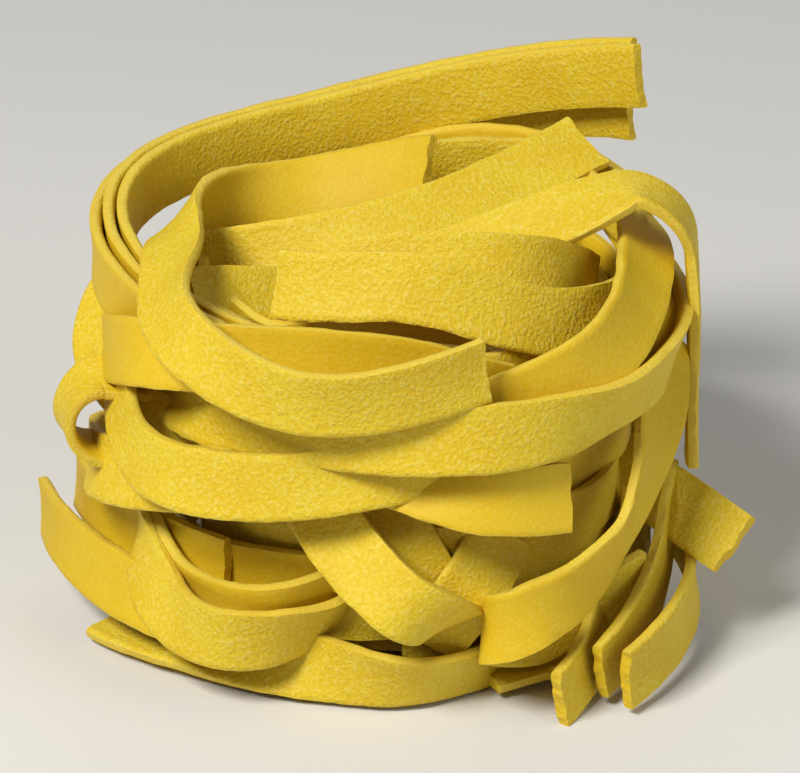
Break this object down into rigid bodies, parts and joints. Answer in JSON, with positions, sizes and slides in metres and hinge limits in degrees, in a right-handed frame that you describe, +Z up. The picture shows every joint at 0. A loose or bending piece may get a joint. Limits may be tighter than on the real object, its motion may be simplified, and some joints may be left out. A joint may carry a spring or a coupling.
{
  "type": "dry pasta nest",
  "caption": "Dried egg pasta nest: flat yellow strands wound into a small round heap, with loose ends, loops and a broad tab at the side.",
  "frame": {"origin": "on the surface the nest stands on, under the middle of its overall length and depth", "axes": "+X to the right, towards the loose tab, along the longest side; -Y is the front with the low loop; +Z up, the shortest side"},
  "size_m": [0.0758, 0.0692, 0.0537],
  "materials": {
    "pasta": "matte, fine-grained dry egg dough"
  },
  "bodies": {
    "root": {"pasta_nest": "pasta"}
  },
  "joints": []
}
